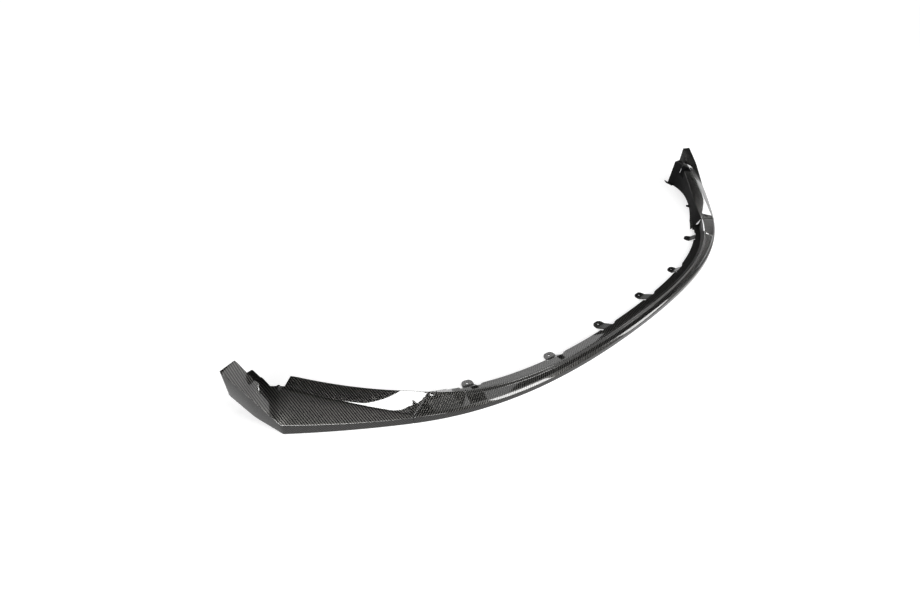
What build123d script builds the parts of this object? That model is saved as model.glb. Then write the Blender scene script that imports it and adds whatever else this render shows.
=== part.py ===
# Three-piece front splitter lip: a bowed centre blade and two corner wings, thin laminate mouldings.
# Millimetres. X is across the car, the front faces -Y, Z is up, and the lip rests on the floor at Z = 0.
import os
from math import atan, cos, hypot, sin

from build123d import *

# Laminate
skin = 2.8

# Plan of the front edge: a bow between the seams, then a gentle bend out to each corner
seam_half = 640.0
corner_half = 852.0
bow = 74.0
sweep = 64.5
wing_bend = 0.0004

# Front face and the rolled edge above it
face_lean = 0.8
face_mid = 11.0
face_seam = 17.0
face_corner = 25.0
roll_back = 6.0
roll_rise = 5.0
face_round = 3.2
ridge_round = 4.0

# Crest at the back of the top surface, and the wall down from it to the flange
crest_back_mid = 23.0
crest_back_seam = 56.5
crest_back_corner = 86.5
crest_high_mid = 24.0
crest_high_seam = 39.0
crest_high_corner = 86.0
crest_climb = 0.4
wall_lean = 4.0

# Recessed channel along the middle of the top, and the plain pad from its end to the seam
pad_length = 110.0
channel_end = seam_half - pad_length
channel_depth = 7.0
rim_width = 4.0
rim_slope = 3.0

# Raised rear flange, and the screw tabs that step down from it to a flat foot
flange_high = 14.5
flange_mid = 48.0
flange_seam = 72.0
outer_tab_inset = 129.0
tab_stations = (96.0, 286.0, seam_half - outer_tab_inset)
tab_lengths = (36.0, 27.0, 28.0)
tab_width = 30.0
tab_round = 11.0
foot_length = 17.0
hole_radius = 3.0
hole_inset = 9.0
relief_length = 12.0
relief_depth = 4.0

# Seam between the centre and a wing: a straight cut seen in plan, and the tongue that laps under the flange
seam_run = (-61.0, 20.5)
seam_gap = 1.6
tongue_set = 34.0
tongue_proud = 2.0
tongue_length = 88.0
tongue_width = 12.0

# Corner wing: ridge above the sloped blade, and the foot of the rear wall
ridge_back_corner = 55.0
ridge_high_corner = 78.0
ridge_flat = 0.15
foot_back_seam = 75.0
foot_back_waist = 62.0
foot_back_corner = 78.0

# Notch between the fin and the shelf, and the nub at its foot, in plan from the corner
fin_end = (-64.0, 58.0)
notch_foot = (-37.0, 40.0)
shelf_start = (-19.0, 60.0)
shelf_middle = (-16.0, 92.0)
notch_floor = 52.0
nub_place = (-30.0, 45.0)
nub_radius = 4.0
nub_sides = 8
nub_rise = 6.0

# Winglet in plan from the corner, with its outer edge, ridge, shelf and foot at its bend and at its tip
bend_place = (27.5, 60.0)
bend_toward = (-16.0, 91.0)
bend_outline = ((0.0, 20.0), (0.0, 86.0), (36.0, 83.5), (39.0, 83.0), (52.0, 83.0), (70.0, 0.0))
tip_place = (50.0, 113.0)
tip_toward = (-11.0, 125.5)
tip_outline = ((0.0, 60.0), (0.0, 127.5), (36.0, 131.0), (39.0, 86.0), (62.0, 84.0), (74.0, 0.0))

# Small floor plates of the wing: screw ear, and the pointed rear tab that ends the part
ear_station = 738.0
ear_set = 2.5
ear_radius = 7.0
ear_hole = 2.2
rear_tab_end = (-14.0, 146.0)
rear_tab_width = 9.0
rear_tab_skew = 3.0

# Spacing of lofted sections, and how far hollows run past the openings they make
centre_sections = 13
pad_sections = 6
wing_sections = 9
seam_overrun = 20.0
run_out = 30.0


def front_edge(x):
    share = min(abs(x) / seam_half, 1)
    run = max(abs(x) - seam_half, 0)
    slope = (2 * bow + 4 * sweep) / seam_half
    return bow * share**2 + sweep * share**4 + slope * run + wing_bend * run**2


def front_angle(x):
    share = min(abs(x) / seam_half, 1)
    run = max(abs(x) - seam_half, 0)
    slope = (2 * bow * share + 4 * sweep * share**3) / seam_half + 2 * wing_bend * run
    return atan(slope) * (1 if x >= 0 else -1)


def station(x):
    turn = front_angle(x)
    inward = (-sin(turn), cos(turn), 0)
    return Plane(origin=(x, front_edge(x), 0), x_dir=inward, z_dir=(cos(turn), sin(turn), 0))


def plan_point(x, back):
    turn = front_angle(x)
    return (x - back * sin(turn), front_edge(x) + back * cos(turn))


def from_corner(offset):
    return (corner_half + offset[0], front_edge(corner_half) + offset[1])


def upright(start, toward):
    run = hypot(toward[0] - start[0], toward[1] - start[1])
    ahead = ((toward[0] - start[0]) / run, (toward[1] - start[1]) / run)
    return Plane(origin=(*start, 0), x_dir=(*ahead, 0), z_dir=(ahead[1], -ahead[0], 0))


# Sizes that change along the lip: share runs from the middle to the seam, past from the seam to the corner

def share_past(x):
    return min(abs(x) / seam_half, 1), max(abs(x) - seam_half, 0) / (corner_half - seam_half)


def face_high(x):
    share, past = share_past(x)
    return face_mid + (face_seam - face_mid) * share**6 + (face_corner - face_seam) * past**2


def crest_back(x):
    share, past = share_past(x)
    centre = crest_back_mid + (crest_back_seam - crest_back_mid) * share**4
    return centre + (crest_back_corner - crest_back_seam) * past


def crest_high(x):
    share, past = share_past(x)
    centre = crest_high_mid + (crest_high_seam - crest_high_mid) * share**6
    return centre + (crest_high_corner - crest_high_seam) * (crest_climb * past + (1 - crest_climb) * past**2)


def ridge_back(x):
    return roll_back + (ridge_back_corner - roll_back) * share_past(x)[1]


def ridge_high(x):
    climb = ridge_high_corner - face_corner - roll_rise
    return face_high(x) + roll_rise + climb * share_past(x)[1]


def wall_foot(x):
    return crest_back(x) + wall_lean


def wing_foot(x):
    past = share_past(x)[1]
    from_seam = (foot_back_seam - foot_back_waist) * (1 - past) ** 2
    return foot_back_waist + from_seam + (foot_back_corner - foot_back_waist) * past**4


def flange_back(x):
    return flange_mid + (flange_seam - flange_mid) * share_past(x)[0] ** 3


# Cross-sections, as chains of (distance back, height) from the front bottom edge to the foot of the wall

def pad_chain(x, foot):
    back, high = ridge_back(x), ridge_high(x)
    crest, top = crest_back(x), crest_high(x)
    near = (back + (crest - back) * ridge_flat, high + (top - high) * ridge_flat)
    return [(0, 0), (face_lean, face_high(x)), (back, high), near, (crest, top), foot]


def centre_pad_chain(x):
    return pad_chain(x, (wall_foot(x), flange_high))


def wing_pad_chain(x):
    return pad_chain(x, (wing_foot(x), 0))


def channel_chain(x):
    crest, top = crest_back(x), crest_high(x)
    rim = crest - rim_width
    return [
        (0, 0),
        (face_lean, face_high(x)),
        (roll_back, face_high(x) + roll_rise),
        (rim - rim_slope, top - channel_depth),
        (rim, top),
        (crest, top),
        (wall_foot(x), flange_high),
    ]


def channel_hollow_chain(x):
    floor = crest_high(x) - channel_depth
    drop = crest_high(x) - flange_high
    behind = crest_back(x) + wall_lean * channel_depth / drop
    return channel_chain(x)[:3] + [(behind, floor), (wall_foot(x), flange_high)]


def section(plane, chain):
    foot = chain[-1]
    corners = [*chain, (foot[0], 0)] if foot[1] > 0 else [*chain]
    rounds = [0, face_round, ridge_round] + [0] * (len(corners) - 3)
    return plane * make_face(FilletPolyline(*corners, radius=rounds, close=True))


def crisp_section(plane, chain):
    return plane * make_face(Polyline(*chain, close=True))


def hollow_section(plane, chain):
    spans = list(zip(chain, chain[1:]))
    lengths = [hypot(b[0] - a[0], b[1] - a[1]) for a, b in spans]
    inward = [((b[1] - a[1]) / n, (a[0] - b[0]) / n) for (a, b), n in zip(spans, lengths)]
    inner = [(chain[0][0] + skin * inward[0][0], -run_out)]
    for point, before, after in zip(chain[1:], inward, inward[1:]):
        mitre = skin / (1 + before[0] * after[0] + before[1] * after[1])
        inner.append((point[0] + mitre * (before[0] + after[0]), point[1] + mitre * (before[1] + after[1])))
    foot = (chain[-1][0] + skin * inward[-1][0], chain[-1][1] - skin)
    past_foot = chain[-1][0] + run_out
    inner += [foot, (past_foot, foot[1]), (past_foot, -run_out)]
    return plane * make_face(Polyline(*inner, close=True))


def spread(first, last, count):
    return [first + (last - first) * step / (count - 1) for step in range(count)]


# Skins: an outer solid less a hollow that leaves the laminate

def channel_solid():
    return loft([section(station(x), channel_chain(x))
                 for x in spread(-channel_end, channel_end, centre_sections)])


def channel_hollow():
    reach = channel_end + skin
    return loft([hollow_section(station(x), channel_hollow_chain(x))
                 for x in spread(-reach, reach, centre_sections)])


def centre_pad():
    past_seam = seam_half + seam_overrun
    outer = [section(station(x), centre_pad_chain(x))
             for x in spread(channel_end, past_seam, pad_sections)]
    inner = [hollow_section(station(x), centre_pad_chain(x))
             for x in spread(channel_end + skin, past_seam, pad_sections)]
    return loft(outer) - loft(inner)


def wing_pad():
    places = spread(seam_half + seam_run[0] - seam_overrun, corner_half, wing_sections)
    outer = [section(station(x), wing_pad_chain(x)) for x in places]
    inner = [hollow_section(station(x), wing_pad_chain(x)) for x in places]
    return loft(outer), loft(inner)


def bend_plane():
    return upright(from_corner(bend_place), from_corner(bend_toward))


def tip_plane():
    return upright(from_corner(tip_place), from_corner(tip_toward))


def winglet(make, past_tip):
    return loft([
        make(station(corner_half), wing_pad_chain(corner_half)),
        make(bend_plane(), bend_outline),
        make(tip_plane().offset(past_tip), tip_outline),
    ], ruled=True)


# Flange, tabs and small plates

def band(stations, near, far):
    inner = Spline(*[plan_point(x, near(x)) for x in stations])
    outer = Spline(*[plan_point(x, far(x)) for x in stations])
    ends = [Line(inner @ 0, outer @ 0), Line(inner @ 1, outer @ 1)]
    return make_face([inner, outer, *ends])


def facing(x, back):
    turn = front_angle(x)
    return Plane(origin=(*plan_point(x, back), 0), x_dir=(-sin(turn), cos(turn), 0), z_dir=(0, 0, 1))


def under_wall(x):
    return wall_foot(x) - skin


def reliefs(x):
    aside = (tab_width + relief_length) / 2
    notch = Rectangle(2 * relief_depth, relief_length)
    return [facing(x, flange_back(x)) * Pos(0, side * aside) * notch for side in (-1, 1)]


def screw_tab(x, reach):
    root, edge, fold = under_wall(x), flange_back(x) - relief_depth, reach - foot_length
    top = [(root, flange_high), (edge, flange_high), (fold, skin), (reach, skin)]
    under = [(back, high - skin) for back, high in reversed(top)]
    profile = make_face(Polyline(*top, *under, close=True))
    tab = extrude(station(x) * profile, tab_width / 2, both=True)
    tip = Plane(facing(x, reach).origin, z_dir=facing(x, reach).x_dir)
    corners = tab.edges().filter_by(Axis.Z).sort_by(lambda line: tip.to_local_coords(line.center()).Z)
    return fillet(corners[-2:], tab_round)


def screw_hole(x, reach):
    return extrude(facing(x, reach - hole_inset) * Circle(hole_radius), flange_high)


def centre_flange():
    sketch = band(spread(-seam_half, seam_half, centre_sections), under_wall, flange_back)
    tabs, holes = [], []
    for side in (-1, 1):
        for place, length in zip(tab_stations, tab_lengths):
            x = side * place
            reach = flange_back(x) + length
            sketch = sketch - reliefs(x)
            tabs.append(screw_tab(x, reach))
            holes.append(screw_hole(x, reach))
    return Pos(0, 0, flange_high - skin) * extrude(sketch, skin) + tabs - holes


def wing_plates():
    bend_foot = bend_plane().from_local_coords(Vector(bend_outline[-1][0] - skin, 0, 0))
    tip_foot = tip_plane().from_local_coords(Vector(tip_outline[-1][0] - skin, 0, 0))
    inward = Vector(-rear_tab_width, rear_tab_skew, 0)
    rear_tab = Polyline(bend_foot, tip_foot, from_corner(rear_tab_end), tip_foot + inward,
                        bend_foot + inward, close=True)
    ear = facing(ear_station, wing_foot(ear_station) + ear_set)
    sketch = make_face(rear_tab) + ear * Circle(ear_radius) - ear * Circle(ear_hole)
    return extrude(sketch, skin)


def tongue():
    middle = seam_half - tongue_set
    back = flange_back(middle) + tongue_proud - tongue_width / 2
    plate = facing(middle, back) * Rectangle(tongue_width, tongue_length)
    return Pos(0, 0, flange_high - 2 * skin) * extrude(plate, skin)


def nub():
    root = ridge_high_corner - 2 * skin
    boss = extrude(RegularPolygon(nub_radius, nub_sides), 2 * skin + nub_rise)
    return Pos(*from_corner(nub_place), root) * boss


# The three mouldings

def wing_side(gap):
    start = (seam_half, front_edge(seam_half))
    seam = upright(start, (start[0] + seam_run[0], start[1] + seam_run[1])).offset(gap)
    return seam * Pos(0, 0, corner_half / 2) * Box(2 * corner_half, corner_half, corner_half)


def centre_lip():
    cut = wing_side(-seam_gap / 2)
    pad = centre_pad() - cut
    body = channel_solid() + pad + mirror(pad, Plane.YZ) - channel_hollow()
    return body + (centre_flange() - cut - mirror(cut, Plane.YZ))


def corner_wing():
    outer, inner = wing_pad()
    body = outer + winglet(crisp_section, 0) - inner - winglet(hollow_section, run_out)
    corners = (fin_end, notch_foot, shelf_start, shelf_middle, (fin_end[0], shelf_middle[1]))
    notch = Polyline(*[from_corner(corner) for corner in corners], close=True)
    body = body - Pos(0, 0, notch_floor) * extrude(make_face(notch), corner_half)
    return ((body + nub() + wing_plates()) & wing_side(seam_gap / 2)) + tongue()


def save(shape, name):
    overall_depth = from_corner(rear_tab_end)[1]
    placed = Pos(0, -overall_depth / 2, 0) * shape
    export_step(placed, os.path.join("parts", name + ".step"))
    print(name, round(placed.volume), len(placed.solids()), placed.is_valid)


os.makedirs("parts", exist_ok=True)
wing = corner_wing()
save(centre_lip(), "centre_lip")
save(mirror(wing, Plane.YZ), "left_corner_wing")
save(wing, "right_corner_wing")
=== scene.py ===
# Front splitter lip: glossy twill laminate over the three packed mouldings.
from math import atan, copysign, cos, hypot, pi, radians, sin, sqrt

import bmesh
import bpy
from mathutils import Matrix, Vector


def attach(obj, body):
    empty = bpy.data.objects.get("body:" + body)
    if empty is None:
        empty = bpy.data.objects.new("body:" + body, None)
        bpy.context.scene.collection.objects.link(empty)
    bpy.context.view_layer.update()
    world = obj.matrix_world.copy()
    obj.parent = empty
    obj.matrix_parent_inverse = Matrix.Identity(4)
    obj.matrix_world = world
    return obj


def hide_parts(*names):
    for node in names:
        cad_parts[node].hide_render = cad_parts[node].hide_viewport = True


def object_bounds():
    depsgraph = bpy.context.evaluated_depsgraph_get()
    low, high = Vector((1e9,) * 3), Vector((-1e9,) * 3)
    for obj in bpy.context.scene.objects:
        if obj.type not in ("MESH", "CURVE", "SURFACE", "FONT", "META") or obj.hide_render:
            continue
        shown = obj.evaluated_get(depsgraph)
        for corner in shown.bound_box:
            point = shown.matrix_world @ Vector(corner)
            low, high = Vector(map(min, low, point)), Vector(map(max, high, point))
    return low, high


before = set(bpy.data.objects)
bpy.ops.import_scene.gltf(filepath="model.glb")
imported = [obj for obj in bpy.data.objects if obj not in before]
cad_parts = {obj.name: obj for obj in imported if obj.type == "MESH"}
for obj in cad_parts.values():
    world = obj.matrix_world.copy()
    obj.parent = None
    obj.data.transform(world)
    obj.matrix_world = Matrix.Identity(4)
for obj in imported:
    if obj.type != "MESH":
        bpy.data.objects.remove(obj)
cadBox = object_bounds()
print("frame loaded:", ", ".join(sorted(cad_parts)))

# Plan of the lip, in metres: a bow between the seams, then a gentle bend to each corner
lip = {
    "skin": 0.0028,
    "seamHalf": 0.640,
    "cornerHalf": 0.852,
    "bow": 0.074,
    "sweep": 0.0645,
    "wingBend": 0.4,
    "seamRun": (-0.061, 0.0205),
    "seamGap": 0.0004,
    # distance from the cut and how far the surface is drawn in there
    "seamSoftening": ((0.0026, 0), (0.0016, 0), (0.0006, 0.0003), (0, 0.001)),
    "seamOverrun": 0.012,
    "stationStep": 0.008,
    "leastStep": 0.0002,
    "edgeSteps": 40,  # for measuring along the front edge
    "sharpAngle": 38,
    "weld": 2e-5,
    "slack": 1e-6,
}
seamHalf, cornerHalf, skin = lip["seamHalf"], lip["cornerHalf"], lip["skin"]
halfDepth = cadBox[1].y  # the plan is drawn from the front edge, the frame from its middle


def seamShare(x):
    return min(abs(x) / seamHalf, 1)  # 0 in the middle, 1 from the seam on


def beyondSeam(x):
    return max(abs(x) - seamHalf, 0)


def wingShare(x):
    return beyondSeam(x) / (cornerHalf - seamHalf)  # 0 up to the seam, 1 at the corner


def frontEdge(x):
    s, run = seamShare(x), beyondSeam(x)
    slope = (2 * lip["bow"] + 4 * lip["sweep"]) / seamHalf
    return lip["bow"] * s**2 + lip["sweep"] * s**4 + slope * run + lip["wingBend"] * run**2


def frontTurn(x):
    s = seamShare(x)
    slope = (2 * lip["bow"] * s + 4 * lip["sweep"] * s**3) / seamHalf
    return copysign(atan(slope + 2 * lip["wingBend"] * beyondSeam(x)), x)


def atStation(x, back, high):
    turn = frontTurn(x)
    return Vector((x - back * sin(turn), frontEdge(x) + back * cos(turn) - halfDepth, high))


def fromCorner(offset):
    return Vector((cornerHalf + offset[0], frontEdge(cornerHalf) + offset[1] - halfDepth, 0))


def mix(a, b, t):
    return a + (b - a) * t


# Section of the moulding: front face, roll, crest and rear wall, as in the solids
profile = {
    "faceLean": 0.0008,
    "face": (0.011, 0.017, 0.025),  # in the middle, at the seam, at the corner
    "roll": (0.006, 0.005),
    "crestBack": (0.023, 0.0565, 0.0865),
    "crestHigh": (0.024, 0.039, 0.086),
    "crestClimb": 0.4,
    "wallLean": 0.004,
    "ridgeCorner": (0.055, 0.078),
    "ridgeFlat": 0.15,
    "wingFoot": (0.075, 0.062, 0.078),
    "footRound": 0.0005,
    "faceRound": 0.0034,
    "rollRound": 0.0045,
    "ridgeRound": 0.008,
    "flatRound": 0.0002,
    "crestRound": 0.0014,
    "wallFootRound": 0.002,
    "roundShare": 0.45,  # the most of a side that one round takes up
}
arcSegments = 5
arcPoints = arcSegments + 1
rampStart = 2 * arcPoints - 1  # section point where the front face's round ends


def faceHigh(x):
    mid, seam, corner = profile["face"]
    return mid + (seam - mid) * seamShare(x)**6 + (corner - seam) * wingShare(x)**2


def crestBack(x):
    mid, seam, corner = profile["crestBack"]
    return mid + (seam - mid) * seamShare(x)**4 + (corner - seam) * wingShare(x)


def crestHigh(x):
    mid, seam, corner = profile["crestHigh"]
    climb = profile["crestClimb"]
    rise = climb * wingShare(x) + (1 - climb) * wingShare(x)**2
    return mid + (seam - mid) * seamShare(x)**6 + (corner - seam) * rise


def wallFoot(x):
    return crestBack(x) + profile["wallLean"]


def rounded(corners):
    # each corner is (back, high, radius); a corner with a radius becomes an arc
    points = []
    befores, afters = corners[-1:] + corners[:-1], corners[1:] + corners[:1]
    for before, corner, after in zip(befores, corners, afters):
        here, radius = Vector(corner[:2]), corner[2]
        if not radius:
            points.append(here)
            continue
        fromSide, toSide = Vector(before[:2]) - here, Vector(after[:2]) - here
        half = fromSide.angle(toSide) / 2
        room = profile["roundShare"] * min(fromSide.length, toSide.length)
        reach = min(radius / sin(half) * cos(half), room)
        start, end = here + fromSide.normalized() * reach, here + toSide.normalized() * reach
        for step in range(arcPoints):
            t = step / arcSegments
            a, b, c = (1 - t)**2, 2 * t * (1 - t) * sin(half), t**2  # this weight makes a true arc
            points.append((start * a + here * b + end * c) / (a + b + c))
    return points


def inset(corners):
    # the same chain one skin further in, with mitred corners; the ends stay level
    spans = list(zip(corners, corners[1:]))
    lengths = [hypot(b[0] - a[0], b[1] - a[1]) for a, b in spans]
    inward = [((b[1] - a[1]) / n, (a[0] - b[0]) / n) for (a, b), n in zip(spans, lengths)]
    inner = [(corners[0][0] + skin / inward[0][0], corners[0][1], profile["footRound"])]
    for (back, high), one, two in zip(corners[1:], inward, inward[1:]):
        mitre = skin / (1 + one[0] * two[0] + one[1] * two[1])
        inner.append((back + mitre * (one[0] + two[0]), high + mitre * (one[1] + two[1]), 0))
    return inner, inward[-1]


# Mesh making: a few helpers, then a closed section is drawn and extruded from station to station
def unique(items):
    return list(dict.fromkeys(items))


def onlyVerts(items):
    return [item for item in items if isinstance(item, bmesh.types.BMVert)]


def onlyEdges(items):
    return [item for item in items if isinstance(item, bmesh.types.BMEdge)]


def onlyFaces(items):
    return [item for item in items if isinstance(item, bmesh.types.BMFace)]


def ringPairs(row):
    return zip(row, row[1:] + row[:1])


def ringEdges(bm, row):
    return [bm.edges.get(pair) for pair in ringPairs(row)]


def drawnFrom(verts, made):
    # the new vertex that an extrusion made from each old one
    fresh = set(onlyVerts(made))
    return [next(e.other_vert(v) for e in v.link_edges if e.other_vert(v) in fresh) for v in verts]


def sweepSections(bm, loops, uvRows, backFrom):
    weave = bm.loops.layers.uv.verify()
    row = [bm.verts.new(point) for point in loops[0]]
    for pair in ringPairs(row):
        bm.edges.new(pair)
    uvOf = dict(zip(row, uvRows[0]))
    columnOf = {vert: column for column, vert in enumerate(row)}
    rows, faces = [row], []
    for loop, uvRow in zip(loops[1:], uvRows[1:]):
        made = bmesh.ops.extrude_edge_only(bm, edges=ringEdges(bm, row))["geom"]
        row = drawnFrom(row, made)
        for column, (vert, point) in enumerate(zip(row, loop)):
            vert.co = point
            columnOf[vert] = column
        uvOf.update(zip(row, uvRow))
        faces += onlyFaces(made)
        rows.append(row)
    for face in faces:
        columns = {columnOf[vert] for vert in face.verts}
        wraps = max(columns) - min(columns) > 1
        face.material_index = 1 if wraps or min(columns) >= backFrom else 0
        for corner in face.loops:
            corner[weave].uv = uvOf[corner.vert]
    return rows, uvOf


def closeEnds(bm, rows):
    for row in (rows[0], rows[-1]):
        bmesh.ops.contextual_create(bm, geom=ringEdges(bm, row))


def weldAndFaceOut(bm):
    bmesh.ops.remove_doubles(bm, verts=bm.verts, dist=lip["weld"])
    found = set()
    for first in bm.faces[:]:
        if first in found:
            continue
        found.add(first)
        shell = [first]
        for face in shell:  # one closed shell, which grows by the neighbours of each face
            beside = unique(other for edge in face.edges for other in edge.link_faces)
            fresh = [other for other in beside if other not in found]
            found.update(fresh)
            shell += fresh
        bmesh.ops.recalc_face_normals(bm, faces=shell)
        bm.normal_update()
        volume = sum(f.calc_center_median().dot(f.normal) * f.calc_area() for f in shell)
        if volume < 0:  # a thin bow can come out turned inside out
            bmesh.ops.reverse_faces(bm, faces=shell)


def runLengths(points):
    # distance along the section, from where the front face's round ends
    lengths = [0]
    for a, b in zip(points, points[1:]):
        lengths.append(lengths[-1] + (b - a).length)
    return [length - lengths[rampStart] for length in lengths]


def laidFlat(a, b, toA, toB):
    # third corner of a triangle on the edge from a to b, laid flat beside that edge
    span = b - a
    along = (toA**2 - toB**2 + span.length_squared) / (2 * span.length)
    across = sqrt(max(toA**2 - along**2, 0))
    way = span.normalized()
    return a + way * along + Vector((way.y, -way.x)) * across


def alongFront(x):
    # distance along the front edge, from the middle
    steps = lip["edgeSteps"]
    edge = [frontEdge(x * step / steps) for step in range(steps + 1)]
    return copysign(sum(hypot(x / steps, b - a) for a, b in zip(edge, edge[1:])), x)


def softCut(bm, start, away, softening):
    # cut across the moulding, with the cut's edge drawn in a little
    for back, pull in softening:
        cut = bmesh.ops.bisect_plane(bm, geom=bm.verts[:] + bm.edges[:] + bm.faces[:],
                                     dist=lip["slack"], plane_co=start - away * back,
                                     plane_no=away, clear_outer=back == 0)["geom_cut"]
        bm.normal_update()
        ring = [(vert, vert.normal.copy()) for vert in onlyVerts(cut)]
        if back == 0:  # the cap is filled while its outline is plain, before it is drawn in
            cap = bmesh.ops.holes_fill(bm, edges=onlyEdges(cut), sides=0)["faces"]
            bmesh.ops.triangulate(bm, faces=cap)
        for vert, normal in ring:
            vert.co -= (normal - away * normal.dot(away)) * pull
            vert.co.z = max(vert.co.z, 0)  # nothing goes below the floor


def seamCut(bm, keepWing, side):
    run = Vector((side * lip["seamRun"][0], lip["seamRun"][1], 0)).normalized()
    outward = Vector((side * run.y, -side * run.x, 0))
    away = -outward if keepWing else outward  # points from the kept part across the seam
    start = atStation(side * seamHalf, 0, 0) - away * lip["seamGap"] / 2
    softCut(bm, start, away, lip["seamSoftening"])


def meshObject(bm, name):
    mesh = bpy.data.meshes.new(name)
    bm.to_mesh(mesh)
    holder = bpy.data.objects.new(name, mesh)
    bpy.context.scene.collection.objects.link(holder)
    return holder


def finishPiece(bm, name, node):
    weldAndFaceOut(bm)
    piece = meshObject(bm, name)
    bm.free()
    mesh = piece.data
    mesh.shade_smooth()
    mesh.set_sharp_from_angle(angle=radians(lip["sharpAngle"]))
    mesh.uv_layers[0].name = "weave"
    mesh.materials.append(laminate)
    mesh.materials.append(rawBack)
    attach(piece, "root")
    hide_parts(node)
    print(name, "made,", len(mesh.polygons), "faces")


# Laminate: twill cloth of metallic black tows under a clear coat, the tows on top painted with a
# sheen, and the unpolished back
twill = {
    "tow": 0.0016,
    "turn": radians(-8.4),
    "over": 2,  # two over, two under
    "repeat": 4,
    "archDrop": 3,
    "dark": (0.006, 0.006, 0.0063, 1),
    # painted sheen of the tows on top; every tow is the same black fibre
    "paintedSheen": (0.085, 0.083, 0.077, 1),
    "roughness": 0.34,
    "bump": 0.12,
    "bumpHeight": 0.0002,
    "coatRoughness": 0.03,
    "coatIor": 1.52,
}
backFinish = {
    "dark": (0.006, 0.006, 0.0062, 1),
    # painted sheen of the tows on top, dimmer than on the coated face; every tow is the same black
    # fibre
    "paintedSheen": (0.016, 0.016, 0.0165, 1),
    "roughness": (0.5, 0.75),
    "grain": 900,
    "bump": 0.25,
    "gloss": 0.15,
}


class Shading:
    def __init__(self, name):
        self.material = bpy.data.materials.new(name)
        self.material.use_nodes = True
        self.tree = self.material.node_tree
        self.tree.nodes.clear()
        self.shader = self.node("ShaderNodeBsdfPrincipled")
        self.link(self.shader.outputs[0], self.node("ShaderNodeOutputMaterial").inputs[0])

    def node(self, kind, **settings):
        made = self.tree.nodes.new(kind)
        for key, value in settings.items():
            setattr(made, key, value)
        return made

    def link(self, output, socket):
        self.tree.links.new(output, socket)

    def give(self, node, values):
        for socket, value in values.items():
            node.inputs[socket].default_value = value

    def math(self, operation, *values, clamp=False):
        made = self.node("ShaderNodeMath", operation=operation, use_clamp=clamp)
        for socket, value in zip(made.inputs, values):
            if isinstance(value, (int, float)):
                socket.default_value = value
            else:
                self.link(value, socket)
        return made.outputs[0]

    def colourMix(self, factor, first, second):
        made = self.node("ShaderNodeMix", data_type="RGBA")
        self.give(made, {6: first, 7: second})  # this node's two colour sockets
        self.link(factor, made.inputs[0])
        return made.outputs[2]

    def twillCloth(self, finish):
        # colours the tows black with a painted sheen on those on top, brightest along their crown,
        # and returns the low arch of the tow that shows
        cloth = self.node("ShaderNodeUVMap", uv_map="weave")
        place = self.node("ShaderNodeMapping")
        self.give(place, {"Rotation": (0, 0, twill["turn"]), "Scale": (1 / twill["tow"],) * 3})
        self.link(cloth.outputs[0], place.inputs["Vector"])
        parts = self.node("ShaderNodeSeparateXYZ")
        self.link(place.outputs[0], parts.inputs[0])
        warpAt, weftAt = parts.outputs[0], parts.outputs[1]
        # the pattern moves one tow further along in each row
        step = self.math("SUBTRACT", self.math("FLOOR", warpAt), self.math("FLOOR", weftAt))
        inRepeat = self.math("FLOORED_MODULO", step, twill["repeat"])
        warpUp = self.math("LESS_THAN", inRepeat, twill["over"] - 0.5)
        # distance from the middle of the tow on top
        fromWarp, fromWeft = [
            self.math("ABSOLUTE", self.math("SUBTRACT", self.math("FRACT", at), 0.5))
            for at in (warpAt, weftAt)]
        across = self.math("ADD", self.math("MULTIPLY", warpUp, fromWarp),
                           self.math("MULTIPLY", self.math("SUBTRACT", 1, warpUp), fromWeft))
        drop = self.math("MULTIPLY", self.math("POWER", across, 2), twill["archDrop"])
        arch = self.math("SUBTRACT", 1, drop)
        # painted sheen: the tows on top are lit along their crown and painted shade towards their
        # sides
        lit = self.math("MULTIPLY", warpUp, arch)
        colour = self.colourMix(lit, finish["dark"], finish["paintedSheen"])
        self.link(colour, self.shader.inputs["Base Color"])
        return arch

    def bump(self, height, strength):
        made = self.node("ShaderNodeBump")
        self.give(made, {"Strength": strength, "Distance": twill["bumpHeight"]})
        self.link(height, made.inputs["Height"])
        self.link(made.outputs[0], self.shader.inputs["Normal"])


def laminateMaterial():
    look = Shading("twill_laminate")
    look.bump(look.twillCloth(twill), twill["bump"])
    look.give(look.shader, {
        "Metallic": 1,
        "Roughness": twill["roughness"],
        "Coat Weight": 1,
        "Coat Roughness": twill["coatRoughness"],
        "Coat IOR": twill["coatIor"],
    })
    return look.material


def rawBackMaterial():
    look = Shading("raw_laminate_back")
    look.twillCloth(backFinish)
    grain = look.node("ShaderNodeTexNoise")
    look.give(grain, {"Scale": backFinish["grain"]})
    look.link(look.node("ShaderNodeTexCoord").outputs["Object"], grain.inputs["Vector"])
    low, high = backFinish["roughness"]
    uneven = look.math("MULTIPLY_ADD", grain.outputs["Fac"], high - low, low)
    look.link(uneven, look.shader.inputs["Roughness"])
    look.bump(grain.outputs["Fac"], backFinish["bump"])
    look.give(look.shader, {"Specular IOR Level": backFinish["gloss"]})
    return look.material


laminate, rawBack = laminateMaterial(), rawBackMaterial()
print("laminate materials made")

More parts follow.
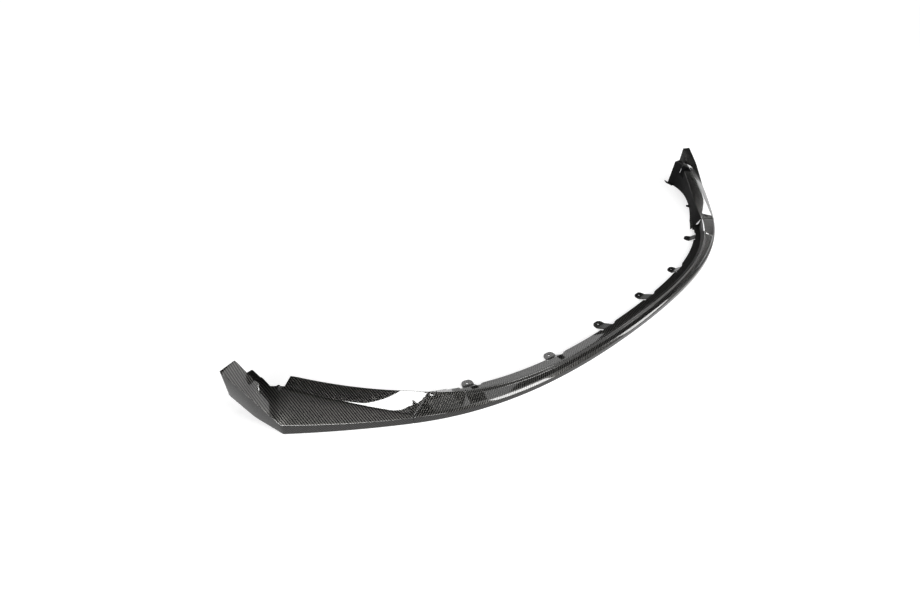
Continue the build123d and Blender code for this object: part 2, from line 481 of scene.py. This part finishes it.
# Centre moulding: channel along the middle, plain pads at the ends, rear flange with screw tabs
centre = {
    "padLength": 0.110,
    "endWall": 0.0012,
    "channelDepth": 0.007,
    "rimWidth": 0.004,
    "rimSlope": 0.003,
    "channelRound": 0.0014,
    "padShares": (0.62, 0.8),  # where the channel's points lie on the plain pad
    "flangeHigh": 0.0145,
    "flangeBack": (0.048, 0.072),
    "tabs": ((0.096, 0.036), (0.286, 0.027), (0.511, 0.028)),  # station, length past the flange
    "tabHalf": 0.015,
    "tabRound": 0.011,
    "tabColumns": (0.00225, 0.0045, 0.007, 0.0098, 0.0125, 0.0142, 0.015),
    "slopeShares": (0.12, 0.5, 0.88, 1),
    "footShares": (0, 1 / 6, 1 / 3, 1 / 2, 2 / 3, 1),
    "footLength": 0.017,
    "holeInset": 0.009,
    "holeRadius": 0.003,
    "holePatch": 0.0045,
    "patchColumns": 5,
    "reliefLength": 0.012,
    "reliefDepth": 0.004,
    "reliefRound": 0.003,
    "reliefColumns": (0.0195, 0.024, 0.0252, 0.0262, 0.0268, 0.027),
}
channelEnd = seamHalf - centre["padLength"]
flangeEdgeAt = 7 * arcPoints  # seven rounded corners come before the flange's edge


def flangeBack(x):
    mid, seam = centre["flangeBack"]
    return mid + (seam - mid) * seamShare(x)**3


def tabStations():
    return sorted(side * station for station, length in centre["tabs"] for side in (-1, 1))


def flangeEdge(x):
    # the flange's rear edge, set in beside each tab
    nearest = min(tabStations(), key=lambda station: abs(station - x))
    offset = abs(x - nearest) / cos(frontTurn(nearest))
    reliefEnd = centre["tabHalf"] + centre["reliefLength"]
    intoRound = offset - (reliefEnd - centre["reliefRound"])
    if offset >= reliefEnd:
        return flangeBack(x)
    if intoRound <= 0:
        return flangeBack(x) - centre["reliefDepth"]
    return flangeBack(x) - centre["reliefDepth"] * sqrt(1 - (intoRound / centre["reliefRound"])**2)


def centreSection(x, inChannel):
    face, lean = faceHigh(x), profile["faceLean"]
    rollBack, rollRise = profile["roll"]
    crest, top, foot, ledge = crestBack(x), crestHigh(x), wallFoot(x), centre["flangeHigh"]
    roll = (rollBack, face + rollRise)
    rim = crest - centre["rimWidth"]
    if inChannel:
        floorBack = (rim - centre["rimSlope"], top - centre["channelDepth"])
        rimFront = (rim, top)
        behind = crest + profile["wallLean"] * centre["channelDepth"] / (top - ledge)
        hollowTop = (behind, top - centre["channelDepth"])
    else:
        floorBack, rimFront = [(mix(roll[0], crest, t), mix(roll[1], top, t))
                               for t in centre["padShares"]]
        hollowTop = (crest, top)
    outer = [
        (0, 0, profile["footRound"]),
        (lean, face, profile["faceRound"]),
        (*roll, profile["rollRound"]),
        (*floorBack, centre["channelRound"]),
        (*rimFront, profile["crestRound"]),
        (crest, top, profile["crestRound"]),
        (foot, ledge, profile["wallFootRound"]),
    ]
    inner, last = inset([(0, 0), (lean, face), roll, hollowTop, (foot, ledge)])
    footInner = (foot + skin * last[0], ledge - skin, 0)
    back = flangeEdge(x)
    edge = [(back, ledge, 0), (back, ledge - skin, 0)]
    return rounded(outer + edge + [footInner] + inner[::-1])


def centreStations():
    ends = (channelEnd, channelEnd + centre["endWall"], seamHalf + lip["seamOverrun"])
    marks = {side * end for end in ends for side in (-1, 1)}
    for station in tabStations():
        marks.add(station)
        for offset in centre["tabColumns"] + centre["reliefColumns"]:
            stretched = offset * cos(frontTurn(station))
            marks |= {station - stretched, station + stretched}
    ordered = sorted(marks)
    stations = ordered[:1]
    for mark in ordered[1:]:
        gap = mark - stations[-1]
        if gap < lip["leastStep"]:
            continue
        pieces = max(1, round(gap / lip["stationStep"]))
        stations += [mix(mark - gap, mark, (step + 1) / pieces) for step in range(pieces)]
    return stations


def pullTab(bm, rows, stations, uvOf, tabStation, length):
    # the flange's edge faces under the tab are extruded outwards, row by row
    weave = bm.loops.layers.uv.verify()
    stretch = cos(frontTurn(tabStation))
    wide = centre["tabHalf"] + lip["slack"]
    columns = [i for i, x in enumerate(stations) if abs(x - tabStation) / stretch <= wide]
    top = [rows[i][flangeEdgeAt] for i in columns]
    under = [rows[i][flangeEdgeAt + 1] for i in columns]
    offsets = [(stations[i] - tabStation) / stretch for i in columns]
    reach = flangeBack(tabStation) + length
    edge, fold = flangeBack(tabStation) - centre["reliefDepth"], reach - centre["footLength"]
    patch = reach - centre["holeInset"] - centre["holePatch"]
    straight, tipRound = centre["tabHalf"] - centre["tabRound"], centre["tabRound"]

    def tipAt(offset):
        over = max(abs(offset) - straight, 0)
        return reach - tipRound + sqrt(max(tipRound**2 - over**2, 0))

    def heightAt(back):
        return mix(centre["flangeHigh"], skin, min(max((back - edge) / (fold - edge), 0), 1))

    rowPlaces = [[mix(edge, fold, t)] * len(offsets) for t in centre["slopeShares"]]
    tips = [tipAt(offset) for offset in offsets]
    rowPlaces += [[mix(patch, tip, t) for tip in tips] for t in centre["footShares"]]
    quads = [bm.faces.get((a, b, d, c)) for a, b, c, d in zip(top, top[1:], under, under[1:])]
    grid = [(top, under)]
    for places in rowPlaces:
        borders = unique(border for quad in quads for border in quad.edges)
        # with their borders, the old quads go away
        made = bmesh.ops.extrude_face_region(bm, geom=quads + borders)["geom"]
        quads = onlyFaces(made)
        above, below = top, under
        top, under = drawnFrom(above, made), drawnFrom(below, made)
        for k, (i, back) in enumerate(zip(columns, places)):
            top[k].co = atStation(stations[i], back, heightAt(back))
            under[k].co = top[k].co - Vector((0, 0, skin))
            stride = (top[k].co - above[k].co).length
            uvOf[top[k]] = (uvOf[above[k]][0], uvOf[above[k]][1] + stride)
            uvOf[under[k]] = (uvOf[below[k]][0], uvOf[below[k]][1] - stride)
        grid.append((top, under))
    tabVerts = [vert for levels in grid[1:] for line in levels for vert in line]
    for face in unique(face for vert in tabVerts for face in vert.link_faces):
        for corner in face.loops:
            corner[weave].uv = uvOf[corner.vert]
    drillTab(bm, grid, offsets, tabStation, reach - centre["holeInset"])


def drillTab(bm, grid, offsets, tabStation, back):
    # a square patch comes out of both faces, its rim is drawn in to a circle,
    # and the circles are joined
    wide = centre["patchColumns"]
    firstColumn = next(i for i, offset in enumerate(offsets)
                       if abs(offset + centre["holePatch"]) < lip["slack"])
    firstRow = len(centre["slopeShares"]) + 1
    rims = []
    for level, high in ((0, skin), (1, 0)):
        inside = [vert for row in grid[firstRow:firstRow + wide]
                  for vert in row[level][firstColumn:firstColumn + wide]]
        touching = unique(face for vert in inside for face in vert.link_faces)
        patch = [face for face in touching if all(vert in inside for vert in face.verts)]
        bmesh.ops.delete(bm, geom=patch, context="FACES")
        around = unique(edge for vert in inside if vert.is_valid for edge in vert.link_edges)
        rim = [edge for edge in around if edge.is_boundary]
        made = bmesh.ops.extrude_edge_only(bm, edges=rim)["geom"]
        middle = atStation(tabStation, back, high)
        for vert in onlyVerts(made):
            spoke = vert.co - middle
            vert.co = middle + Vector((spoke.x, spoke.y, 0)).normalized() * centre["holeRadius"]
        rims += [edge for edge in onlyEdges(made) if edge.is_boundary]
    for face in bmesh.ops.bridge_loops(bm, edges=rims)["faces"]:
        face.material_index = 1  # a drilled wall is uncoated


def centreMoulding():
    bm = bmesh.new()
    stations = centreStations()
    loops, uvRows = [], []
    for x in stations:
        section = centreSection(x, abs(x) <= channelEnd + lip["slack"])
        loops.append([atStation(x, back, high) for back, high in section])
        uvRows.append([(alongFront(x), length) for length in runLengths(section)])
    rows, uvOf = sweepSections(bm, loops, uvRows, flangeEdgeAt + 1)
    for station, length in centre["tabs"]:
        for side in (-1, 1):
            pullTab(bm, rows, stations, uvOf, side * station, length)
    closeEnds(bm, rows)
    weldAndFaceOut(bm)
    for side in (-1, 1):
        seamCut(bm, False, side)
    finishPiece(bm, "centre_blade", "centre_lip")


centreMoulding()

# Corner wing: ramp up to a ridge, fin with a notch, shelf and upturned winglet
wing = {
    "rampShares": (0.06, 0.2, 0.42, 0.7),  # extra points on the ramp
    "rampEase": (0.3, 0.55, 0.8, 0.95),  # how softly each of them turns at the corner
    "cornerEase": 0.55,
    "cornerLead": 0.052,  # length of front edge, before the corner, that counts as one leg
    "bendEase": 0.16,
    "bendSteps": 5,
    "legSteps": 10,
    "edgeRound": 0.0045,
    "finEnd": (-0.064, 0.058),
    "notchFoot": (-0.037, 0.040),
    "shelfStart": (-0.019, 0.060),
    "shelfMiddle": (-0.016, 0.092),
    "notchFloor": 0.052,
    "knifeHeight": 0.2,
    "notchWeb": ((-0.037, 0.041, 0.070), (-0.059, 0.055, 0.0485), (-0.050, 0.063, 0.0485),
                 (-0.019, 0.091, 0.0485), (-0.003, 0.096, 0.074), (0.004, 0.072, 0.074),
                 (-0.019, 0.061, 0.072)),
    "bendPlace": (0.0275, 0.060),
    "bendToward": (-0.016, 0.091),
    "bendOutline": ((0, 0.020), (0, 0.086), (0.036, 0.0835), (0.039, 0.083), (0.052, 0.083),
                    (0.070, 0)),
    "tipPlace": (0.050, 0.113),
    "tipToward": (-0.011, 0.1255),
    "tipOutline": ((0, 0.060), (0, 0.1275), (0.036, 0.131), (0.039, 0.086), (0.062, 0.084),
                   (0.074, 0)),
    "tipSoftening": ((0.0062, 0), (0.0048, 0), (0.003, 0.0002), (0.0015, 0.0006),
                     (0.0005, 0.001), (0, 0.0013)),
    "nubPlace": (-0.030, 0.045),
    "nubRadius": 0.004,
    "nubRise": 0.006,
    "nubRound": 0.0012,
    "nubRoundSteps": 3,
    "nubSides": 24,
    "earStation": 0.738,
    "earSet": 0.0025,
    "earRadius": 0.007,
    "earHole": 0.0022,
    "earSides": 28,
    "rearTabEnd": (-0.014, 0.146),
    "rearTabWidth": 0.009,
    "rearTabSkew": 0.003,
    "tongueSet": 0.034,
    "tongueProud": 0.002,
    "tongueSize": (0.012, 0.088),
}
rampPoints = len(wing["rampShares"])
rampEnd = rampStart + rampPoints + 1  # section point where the ridge's round starts
wallStart = 5 * arcPoints + rampPoints - 1  # section point where the rear wall leaves the crest


def wingFoot(x):
    seam, waist, corner = profile["wingFoot"]
    return waist + (seam - waist) * (1 - wingShare(x))**2 + (corner - waist) * wingShare(x)**4


def wingChain(x):
    rollBack, rollRise = profile["roll"]
    cornerBack, cornerHigh = profile["ridgeCorner"]
    climb = cornerHigh - profile["face"][2] - rollRise
    ridge = (mix(rollBack, cornerBack, wingShare(x)),
             faceHigh(x) + rollRise + climb * wingShare(x))
    crest = (crestBack(x), crestHigh(x))
    near = tuple(mix(a, b, profile["ridgeFlat"]) for a, b in zip(ridge, crest))
    return [(0, 0), (profile["faceLean"], faceHigh(x)), ridge, near, crest, (wingFoot(x), 0)]


def wingSection(chain, edgeRound, ridgeRound):
    inner, last = inset(chain)
    foot = profile["footRound"]
    footInner = (chain[-1][0] + skin / last[0], chain[-1][1], foot)
    radii = [foot, edgeRound, ridgeRound, profile["flatRound"], profile["crestRound"], foot]
    outer = [(*point, radius) for point, radius in zip(chain, radii)]
    ramp = [(*[mix(a, b, t) for a, b in zip(chain[1], chain[2])], 0) for t in wing["rampShares"]]
    points = rounded(outer[:2] + ramp + outer[2:] + [footInner] + inner[::-1])
    # the ramp's own points are spread again between the two rounds, so that none lies in a round
    for step, t in enumerate(wing["rampShares"]):
        points[rampStart + 1 + step] = points[rampStart].lerp(points[rampEnd], t)
    return points


def uprightAt(start, toward):
    origin = fromCorner(start)
    along = (fromCorner(toward) - origin).normalized()
    return lambda back, high: origin + along * back + Vector((0, 0, high))


def wingStation(x):
    section = wingSection(wingChain(x), profile["faceRound"], profile["ridgeRound"])
    return [atStation(x, back, high) for back, high in section], runLengths(section)


def uprightLoop(place, toward, outline):
    put = uprightAt(wing[place], wing[toward])
    section = wingSection([*wing[outline]], wing["edgeRound"], profile["crestRound"])
    return [put(back, high) for back, high in section]


def cornerEaseOf(count):
    # the front face and its inner foot turn sharply at the corner, all behind them softly
    sharp = [0] * (rampStart + 1)
    innerFoot = [0] * arcSegments
    soft = [1] * (count - len(sharp) - rampPoints - len(innerFoot))
    return sharp + list(wing["rampEase"]) + soft + innerFoot


def wingLoops():
    # three legs: along the front to the corner (t below 0), to the bend (1) and to the tip (2)
    corner = wingStation(cornerHalf)[0]
    bend = uprightLoop("bendPlace", "bendToward", "bendOutline")
    tip = uprightLoop("tipPlace", "tipToward", "tipOutline")
    lead, cornerEase, bendEase = wing["cornerLead"], wing["cornerEase"], wing["bendEase"]
    eases = [cornerEase * ease for ease in cornerEaseOf(len(corner))]
    stationAt = {0: corner}

    def legPoint(k, t):
        if t <= 0:
            if t not in stationAt:
                stationAt[t] = wingStation(cornerHalf + lead * t)[0]
            return stationAt[t][k]
        return corner[k].lerp(bend[k], t) if t <= 1 else bend[k].lerp(tip[k], t - 1)

    def softPoint(k, t):
        for turnAt, ease in ((0, eases[k]), (1, bendEase)):
            if abs(t - turnAt) < ease:
                s = (t - turnAt + ease) / (2 * ease)  # a soft bend instead of a crease
                before, after = legPoint(k, turnAt - ease), legPoint(k, turnAt + ease)
                return before * (1 - s)**2 + legPoint(k, turnAt) * (2 * s * (1 - s)) + after * s**2
        return legPoint(k, t)

    loops, uvRows = [], []
    start = seamHalf + lip["seamRun"][0] - lip["seamOverrun"]
    count = round((cornerHalf - lead - start) / lip["stationStep"])
    for step in range(count):
        x = mix(start, cornerHalf - lead, step / count)
        loop, lengths = wingStation(x)
        loops.append(loop)
        uvRows.append([(alongFront(x), length) for length in lengths])
    # past these stations the cloth is laid flat strip by strip, from the ramp's edge to its ridge
    steps, bendSteps = wing["legSteps"], wing["bendSteps"]
    coarse = {step / steps - 1 for step in range(3 * steps + 1)}
    fine = {1 + bendEase * step / bendSteps for step in range(-bendSteps, bendSteps + 1)}
    lastLoop = wingStation(cornerHalf - lead)[0]
    edgeAt = Vector((alongFront(cornerHalf - lead), 0))
    ridgeAt = edgeAt + Vector((0, (lastLoop[rampEnd] - lastLoop[rampStart]).length))
    for t in sorted(coarse | fine):
        loop = [softPoint(k, t) for k in range(len(corner))]
        edge, top = loop[rampStart], loop[rampEnd]
        lastEdge, lastTop = lastLoop[rampStart], lastLoop[rampEnd]
        if t > -1:
            edgeAt = laidFlat(edgeAt, ridgeAt, (edge - lastEdge).length, (edge - lastTop).length)
            ridgeAt = laidFlat(edgeAt, ridgeAt, (top - edge).length, (top - lastTop).length)
        way = (ridgeAt - edgeAt).normalized()
        loops.append(loop)
        uvRows.append([tuple(edgeAt + way * length) for length in runLengths(loop)])
        lastLoop = loop
    return loops, uvRows


def thicken(bm, faces, rise):
    lifted = bmesh.ops.extrude_face_region(bm, geom=faces, use_keep_orig=True)["geom"]
    bmesh.ops.translate(bm, verts=onlyVerts(lifted), vec=(0, 0, rise))


def flatPlate(bm, outline, low, rise):
    # a plate from its plan outline
    thicken(bm, [bm.faces.new([bm.verts.new((spot.x, spot.y, low)) for spot in outline])], rise)


def cutNotch(bm):
    # V between the fin and the shelf, cut down to the notch floor
    body = meshObject(bm, "notch_work")
    finEnd, middle = wing["finEnd"], wing["shelfMiddle"]
    outline = [finEnd, wing["notchFoot"], wing["shelfStart"], middle, (finEnd[0], middle[1])]
    knife = bmesh.new()
    spots = [fromCorner(spot) for spot in outline]
    flatPlate(knife, spots, wing["notchFloor"], wing["knifeHeight"])
    bmesh.ops.recalc_face_normals(knife, faces=knife.faces)
    cutter = meshObject(knife, "notch_knife")
    knife.free()
    modifier = body.modifiers.new("notch", "BOOLEAN")
    modifier.operation, modifier.solver, modifier.object = "DIFFERENCE", "EXACT", cutter
    graph = bpy.context.evaluated_depsgraph_get()
    result = bpy.data.meshes.new_from_object(body.evaluated_get(graph))
    bm.clear()
    bm.from_mesh(result)
    spent = (body.data, cutter.data, result)
    for item in (body, cutter):
        bpy.data.objects.remove(item)
    for mesh in spent:
        bpy.data.meshes.remove(mesh)


def notchWeb(bm):
    # sloped web under the notch, from the ridge back to the rear wall
    web = bm.faces.new([bm.verts.new(fromCorner(spot) + Vector((0, 0, spot[2])))
                        for spot in wing["notchWeb"]])
    web.material_index = 1
    thicken(bm, bmesh.ops.triangulate(bm, faces=[web])["faces"], skin)


def smallPlates(bm):
    # rear tab at the foot of the winglet
    bendFoot, tipFoot = [
        uprightAt(wing[place], wing[toward])(wing[outline][-1][0] - skin, 0)
        for place, toward, outline in (("bendPlace", "bendToward", "bendOutline"),
                                       ("tipPlace", "tipToward", "tipOutline"))]
    inward = Vector((-wing["rearTabWidth"], wing["rearTabSkew"], 0))
    rearTab = [bendFoot, tipFoot, fromCorner(wing["rearTabEnd"]),
               tipFoot + inward, bendFoot + inward]
    flatPlate(bm, rearTab, 0, skin)
    # screw ear: a ring at the foot of the rear wall
    spot = atStation(wing["earStation"], wingFoot(wing["earStation"]) + wing["earSet"], 0)
    rings = []
    for radius in (wing["earRadius"], wing["earHole"]):
        made = bmesh.ops.create_circle(bm, segments=wing["earSides"], radius=radius)["verts"]
        bmesh.ops.translate(bm, verts=made, vec=spot)
        rings += unique(edge for vert in made for edge in vert.link_edges)
    thicken(bm, bmesh.ops.bridge_loops(bm, edges=rings)["faces"], skin)
    # tongue that laps under the centre's flange
    middle = seamHalf - wing["tongueSet"]
    wide, long = wing["tongueSize"]
    spot = atStation(middle, flangeBack(middle) + wing["tongueProud"] - wide / 2, 0)
    turn = frontTurn(middle)
    inDir, edgeDir = Vector((-sin(turn), cos(turn), 0)), Vector((cos(turn), sin(turn), 0))
    tongue = [spot + inDir * a * wide / 2 + edgeDir * b * long / 2
              for a, b in ((-1, -1), (1, -1), (1, 1), (-1, 1))]
    flatPlate(bm, tongue, centre["flangeHigh"] - 2 * skin, skin)


def nub(bm):
    root = profile["ridgeCorner"][1] - 2 * skin
    high = 2 * skin + wing["nubRise"]
    middle = fromCorner(wing["nubPlace"]) + Vector((0, 0, root + high / 2))
    made = bmesh.ops.create_cone(bm, cap_ends=True, segments=wing["nubSides"], depth=high,
                                 radius1=wing["nubRadius"], radius2=wing["nubRadius"])["verts"]
    bmesh.ops.translate(bm, verts=made, vec=middle)
    upper = [vert for vert in made if vert.co.z > middle.z]
    brim = unique(edge for vert in upper for edge in vert.link_edges
                  if all(end.co.z > middle.z for end in edge.verts))
    bmesh.ops.bevel(bm, geom=brim, offset=wing["nubRound"], offset_type="OFFSET",
                    segments=wing["nubRoundSteps"], profile=0.5, affect="EDGES", material=-1)


def cornerWing(name, node, side):
    bm = bmesh.new()
    loops, uvRows = wingLoops()
    rows = sweepSections(bm, loops, uvRows, wallStart)[0]
    closeEnds(bm, rows)
    weldAndFaceOut(bm)
    cutNotch(bm)
    seamCut(bm, True, 1)
    tipAt = fromCorner(wing["tipPlace"])
    endLine = (fromCorner(wing["tipToward"]) - tipAt).normalized()
    softCut(bm, tipAt, Vector((endLine.y, -endLine.x, 0)), wing["tipSoftening"])
    nub(bm)
    notchWeb(bm)
    smallPlates(bm)
    if side < 0:
        bmesh.ops.scale(bm, verts=bm.verts, vec=(-1, 1, 1))
        bmesh.ops.reverse_faces(bm, faces=bm.faces)
    finishPiece(bm, name, node)


cornerWing("left_wing_blade", "left_corner_wing", -1)
cornerWing("right_wing_blade", "right_corner_wing", 1)

# Studio: white floor that runs out to a low white wall, a dark ceiling and a few softboxes
studio = {
    "floorRadius": 40,
    "floorSides": 128,
    "wallHeight": 13,
    "floorColour": (0.55, 0.55, 0.55, 1),
    "floorRoughness": 0.9,
    # white seen by the camera and by gloss, beside the light that falls on the floor
    "nearGlow": 0.66,
    "farGlow": 1.0,
    "glowFrom": 0.9,
    "glowTo": 1.8,
    "glossShare": 0.25,  # of that white, so that the low front face stays dark
    "ceiling": (0.03, 0.03, 0.03, 1),
}
# each softbox: the spot it lights, azimuth from the rear towards +X, elevation, distance,
# size and brightness
softboxes = {
    "overhead": ((-0.437, 0.342, 0.014), 114, 80, 2.2, (0.46, 0.12), 27),
    "overhead_pale": ((-0.55, -0.12, 0.04), 101, 79, 2.2, (0.22, 0.22), 0.6),
    "right_side": ((0.78, 0.05, 0.06), 89.2, 28.5, 3.0, (0.34, 0.64), 8.5),
    "rear_right": ((-0.25, -0.1, 0.0145), 47, 44, 3.0, (1.35, 0.75), 2.2),
    "front_right": ((0.2, -0.2, 0.014), 130.5, 28, 2.5, (0.66, 0.9), 9.5),
    "front": ((-0.25, -0.2, 0.014), 168.5, 29, 2.5, (0.9, 1.25), 14),
    "front_left": ((-0.6, -0.1, 0.016), -160, 24, 2.5, (0.35, 0.5), 14),
    "rear": ((-0.54, -0.06, 0.0145), 38.6, 46, 3.0, (0.14, 0.4), 6),
    "low_left": ((-0.75, 0.0, 0.05), -136, 26, 2.5, (1.6, 0.4), 24),
    "near_fill": ((-0.75, 0.0, 0.05), -137, 42, 2.5, (1.6, 0.8), 0.1),
    "winglet_fill": ((-0.87, 0.17, 0.12), 130, 52, 2.5, (2.6, 1.3), 1.8),
}


def paperMaterial():
    look = Shading("white_paper")
    look.give(look.shader, {
        "Base Color": studio["floorColour"],
        "Roughness": studio["floorRoughness"],
        "Specular IOR Level": 0,
        "Emission Color": (1, 1, 1, 1),
    })
    rays = look.node("ShaderNodeLightPath").outputs
    inGloss = look.math("MULTIPLY", rays["Is Glossy Ray"], studio["glossShare"])
    seen = look.math("ADD", look.math("ADD", rays["Is Camera Ray"], inGloss),
                     rays["Is Transmission Ray"], clamp=True)
    distance = look.node("ShaderNodeVectorMath", operation="LENGTH")
    look.link(look.node("ShaderNodeTexCoord").outputs["Object"], distance.inputs[0])
    glow = look.node("ShaderNodeMapRange", interpolation_type="SMOOTHSTEP")
    look.give(glow, {
        "From Min": studio["glowFrom"],
        "From Max": studio["glowTo"],
        "To Min": studio["nearGlow"],
        "To Max": studio["farGlow"],
    })
    look.link(distance.outputs["Value"], glow.inputs["Value"])
    look.link(look.math("MULTIPLY", seen, glow.outputs[0]), look.shader.inputs["Emission Strength"])
    return look.material


def studioFloor():
    bm = bmesh.new()
    bmesh.ops.create_circle(bm, cap_ends=True, segments=studio["floorSides"],
                            radius=studio["floorRadius"])
    rim = [edge for edge in bm.edges if edge.is_boundary]
    wall = onlyVerts(bmesh.ops.extrude_edge_only(bm, edges=rim)["geom"])
    bmesh.ops.translate(bm, verts=wall, vec=(0, 0, studio["wallHeight"]))
    floor = meshObject(bm, "floor")
    bm.free()
    floor.data.materials.append(paperMaterial())


def softbox(name, spot, azimuth, elevation, distance, size, brightness):
    lamp = bpy.data.lights.new(name, "AREA")
    lamp.shape, lamp.size, lamp.size_y = "RECTANGLE", *size
    lamp.energy = pi * size[0] * size[1] * brightness  # the watts that make its face this bright
    turn, rise = radians(azimuth), radians(elevation)
    towards = Vector((sin(turn) * cos(rise), cos(turn) * cos(rise), sin(rise)))
    holder = bpy.data.objects.new(name, lamp)
    holder.location = Vector(spot) + towards * distance
    holder.rotation_euler = towards.to_track_quat("Z", "Y").to_euler()
    holder.visible_camera = False
    bpy.context.scene.collection.objects.link(holder)


studioFloor()
for name, settings in softboxes.items():
    softbox(name, *settings)
world = bpy.data.worlds.new("studio")
world.use_nodes = True
world.node_tree.nodes["Background"].inputs[0].default_value = studio["ceiling"]
bpy.context.scene.world = world
print("studio made,", len(softboxes), "softboxes")

# Camera at the photograph's view
view = {
    "place": (-1.010, -0.6405, 0.823),
    "pitch": 52.11,
    "turn": -41.67,
    "focalPixels": 500,
    "imageWidth": 920,
    "sensorWidth": 36,
}
camera = bpy.data.objects.new("camera", bpy.data.cameras.new("camera"))
camera.data.sensor_width = view["sensorWidth"]
camera.data.lens = view["sensorWidth"] * view["focalPixels"] / view["imageWidth"]
camera.location = view["place"]
camera.rotation_euler = (radians(view["pitch"]), 0, radians(view["turn"]))
bpy.context.scene.collection.objects.link(camera)
bpy.context.scene.camera = camera
bpy.context.scene.view_settings.view_transform = "Standard"
